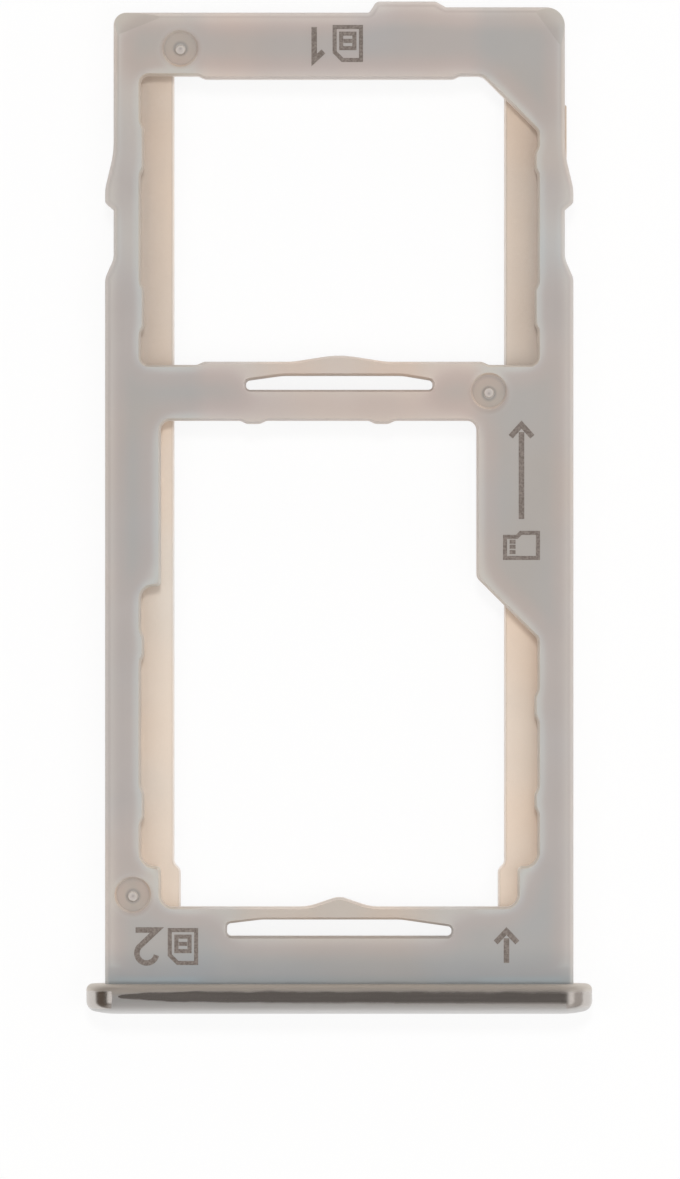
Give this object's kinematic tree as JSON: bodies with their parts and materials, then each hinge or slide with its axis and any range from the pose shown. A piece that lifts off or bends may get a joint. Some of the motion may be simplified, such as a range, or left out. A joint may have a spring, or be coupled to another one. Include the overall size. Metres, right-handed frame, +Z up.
{
  "type": "sim card tray",
  "caption": "Flat phone tray for SIM and memory cards: a translucent moulded frame of open pockets with ledges, spring bars and side detents, on a brushed metal end cap.",
  "frame": {"origin": "middle of the tray's outline, on the level of the end cap's underside", "axes": "+Y runs from the end cap to the far end, which goes into the phone first, +Z is up out of the pockets"},
  "size_m": [0.016, 0.032, 0.002],
  "materials": {
    "translucent_plastic": "satin moulded plastic, off-white and slightly translucent",
    "brushed_metal": "brushed along its length, with polished edges"
  },
  "bodies": {
    "root": {"card_tray": "translucent_plastic", "end_cap": "brushed_metal"}
  },
  "joints": []
}
